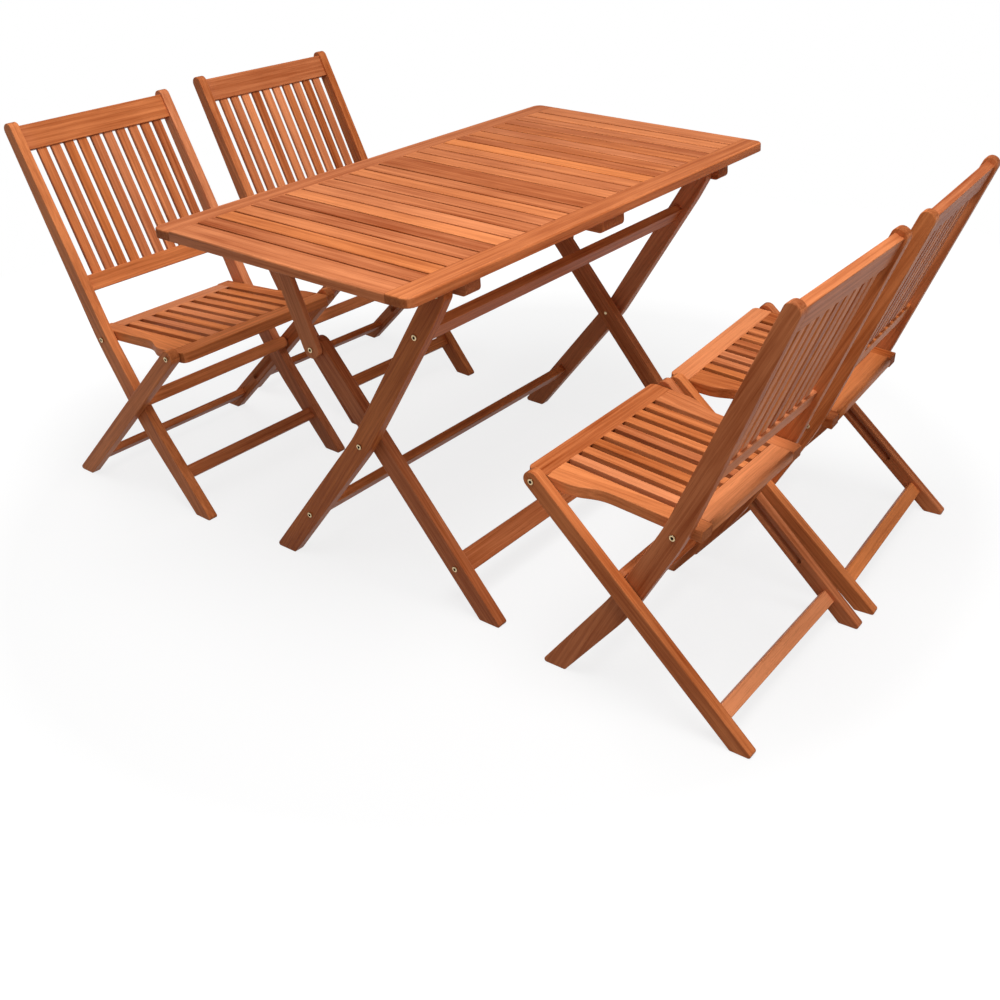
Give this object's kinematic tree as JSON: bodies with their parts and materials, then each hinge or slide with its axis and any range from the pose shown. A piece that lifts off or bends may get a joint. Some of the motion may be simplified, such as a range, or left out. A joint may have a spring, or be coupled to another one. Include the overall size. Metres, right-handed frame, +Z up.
{
  "type": "patio dining set",
  "caption": "Slatted hardwood folding table with bent crossed legs, and matching folding chairs with slatted seats and backs along both long sides.",
  "frame": {"origin": "on the floor under the middle of the whole set's bounding box", "axes": "+X along the table's length, +Y across the table towards the second row of chairs, +Z up"},
  "size_m": [1.2, 2.0718, 0.8677],
  "materials": {
    "wood": "oiled reddish hardwood, satin",
    "bolts": "passivated, satin"
  },
  "bodies": {
    "table_outer_frame": {"table_outer_legs": "wood", "table_upper_stretcher": "wood", "table_lower_stretcher": "wood", "table_stretcher_bolts": "bolts"},
    "table_top": {"table_rails": "wood", "table_end_boards": "wood", "table_mid_board": "wood", "table_slats": "wood", "table_battens": "wood", "table_strut_cleat": "wood", "table_top_bolts": "bolts"},
    "table_inner_frame": {"table_inner_legs": "wood", "table_inner_stretcher": "wood", "table_cross_bolts": "bolts"},
    "table_struts": {"table_struts": "wood", "table_knee_bolts": "bolts"},
    "chair_1_frame": {"chair_1_stiles": "wood", "chair_1_crest_rail": "wood", "chair_1_back_rail": "wood", "chair_1_back_slats": "wood", "chair_1_front_stretcher": "wood", "chair_1_guide_bar": "wood"},
    "chair_1_seat": {"chair_1_seat_frame": "wood", "chair_1_seat_slats": "wood", "chair_1_seat_bolts": "bolts"},
    "chair_1_legs": {"chair_1_rear_legs": "wood", "chair_1_rear_stretcher": "wood"},
    "chair_2_frame": {"chair_2_stiles": "wood", "chair_2_crest_rail": "wood", "chair_2_back_rail": "wood", "chair_2_back_slats": "wood", "chair_2_front_stretcher": "wood", "chair_2_guide_bar": "wood"},
    "chair_2_seat": {"chair_2_seat_frame": "wood", "chair_2_seat_slats": "wood", "chair_2_seat_bolts": "bolts"},
    "chair_2_legs": {"chair_2_rear_legs": "wood", "chair_2_rear_stretcher": "wood"},
    "chair_3_frame": {"chair_3_stiles": "wood", "chair_3_crest_rail": "wood", "chair_3_back_rail": "wood", "chair_3_back_slats": "wood", "chair_3_front_stretcher": "wood", "chair_3_guide_bar": "wood"},
    "chair_3_seat": {"chair_3_seat_frame": "wood", "chair_3_seat_slats": "wood", "chair_3_seat_bolts": "bolts"},
    "chair_3_legs": {"chair_3_rear_legs": "wood", "chair_3_rear_stretcher": "wood"},
    "chair_4_frame": {"chair_4_stiles": "wood", "chair_4_crest_rail": "wood", "chair_4_back_rail": "wood", "chair_4_back_slats": "wood", "chair_4_front_stretcher": "wood", "chair_4_guide_bar": "wood"},
    "chair_4_seat": {"chair_4_seat_frame": "wood", "chair_4_seat_slats": "wood", "chair_4_seat_bolts": "bolts"},
    "chair_4_legs": {"chair_4_rear_legs": "wood", "chair_4_rear_stretcher": "wood"}
  },
  "joints": [
    {"name": "table_top_fold", "type": "hinge", "parent": "table_outer_frame", "child": "table_top", "pos_m": [0, -0.30998, 0.73], "axis": [-1, 0, 0], "range_deg": [0, 35]},
    {"name": "table_inner_fold", "type": "hinge", "parent": "table_outer_frame", "child": "table_inner_frame", "pos_m": [0, -0.05698, 0.345], "axis": [1, 0, 0], "range_deg": [0, 58.88]},
    {"name": "table_strut_fold", "type": "hinge", "parent": "table_top", "child": "table_struts", "pos_m": [0, 0.16502, 0.73], "axis": [-1, 0, 0], "range_deg": [0, 59.07]},
    {"name": "chair_1_pull_out", "type": "slide", "parent": "table_outer_frame", "child": "chair_1_frame", "axis": [0.0175, 0.9998, 0], "range_m": [0, 0.3]},
    {"name": "chair_1_seat_fold", "type": "hinge", "parent": "chair_1_frame", "child": "chair_1_seat", "pos_m": [-0.29611, 0.76398, 0.387], "axis": [-0.9998, 0.0175, 0], "range_deg": [0, 63]},
    {"name": "chair_1_leg_fold", "type": "hinge", "parent": "chair_1_seat", "child": "chair_1_legs", "pos_m": [-0.30112, 0.47702, 0.421], "axis": [0.9998, -0.0175, 0], "range_deg": [0, 13.88]},
    {"name": "chair_2_pull_out", "type": "slide", "parent": "table_outer_frame", "child": "chair_2_frame", "axis": [0.0471, 0.9989, 0], "range_m": [0, 0.3]},
    {"name": "chair_2_seat_fold", "type": "hinge", "parent": "chair_2_frame", "child": "chair_2_seat", "pos_m": [0.23719, 0.79871, 0.387], "axis": [-0.9989, 0.0471, 0], "range_deg": [0, 63]},
    {"name": "chair_2_leg_fold", "type": "hinge", "parent": "chair_2_seat", "child": "chair_2_legs", "pos_m": [0.22367, 0.51203, 0.421], "axis": [0.9989, -0.0471, 0], "range_deg": [0, 13.88]},
    {"name": "chair_3_pull_out", "type": "slide", "parent": "table_outer_frame", "child": "chair_3_frame", "axis": [0.0209, -0.9998, 0], "range_m": [0, 0.3]},
    {"name": "chair_3_seat_fold", "type": "hinge", "parent": "chair_3_frame", "child": "chair_3_seat", "pos_m": [-0.26414, -0.80392, 0.387], "axis": [0.9998, 0.0209, 0], "range_deg": [0, 63]},
    {"name": "chair_3_leg_fold", "type": "hinge", "parent": "chair_3_seat", "child": "chair_3_legs", "pos_m": [-0.27015, -0.51698, 0.421], "axis": [-0.9998, -0.0209, 0], "range_deg": [0, 13.88]},
    {"name": "chair_4_pull_out", "type": "slide", "parent": "table_outer_frame", "child": "chair_4_frame", "axis": [0.0872, -0.9962, 0], "range_m": [0, 0.3]},
    {"name": "chair_4_seat_fold", "type": "hinge", "parent": "chair_4_frame", "child": "chair_4_seat", "pos_m": [0.2244, -0.78592, 0.387], "axis": [0.9962, 0.0872, 0], "range_deg": [0, 63]},
    {"name": "chair_4_leg_fold", "type": "hinge", "parent": "chair_4_seat", "child": "chair_4_legs", "pos_m": [0.19939, -0.50001, 0.421], "axis": [-0.9962, -0.0872, 0], "range_deg": [0, 13.88]}
  ],
  "couplings": [
    {"joint": "table_inner_fold", "follows": "table_top_fold", "ratio": 1.682},
    {"joint": "table_strut_fold", "follows": "table_top_fold", "ratio": 1.6875},
    {"joint": "chair_1_leg_fold", "follows": "chair_1_seat_fold", "ratio": 0.22016},
    {"joint": "chair_2_leg_fold", "follows": "chair_2_seat_fold", "ratio": 0.22016},
    {"joint": "chair_3_leg_fold", "follows": "chair_3_seat_fold", "ratio": 0.22016},
    {"joint": "chair_4_leg_fold", "follows": "chair_4_seat_fold", "ratio": 0.22016}
  ]
}
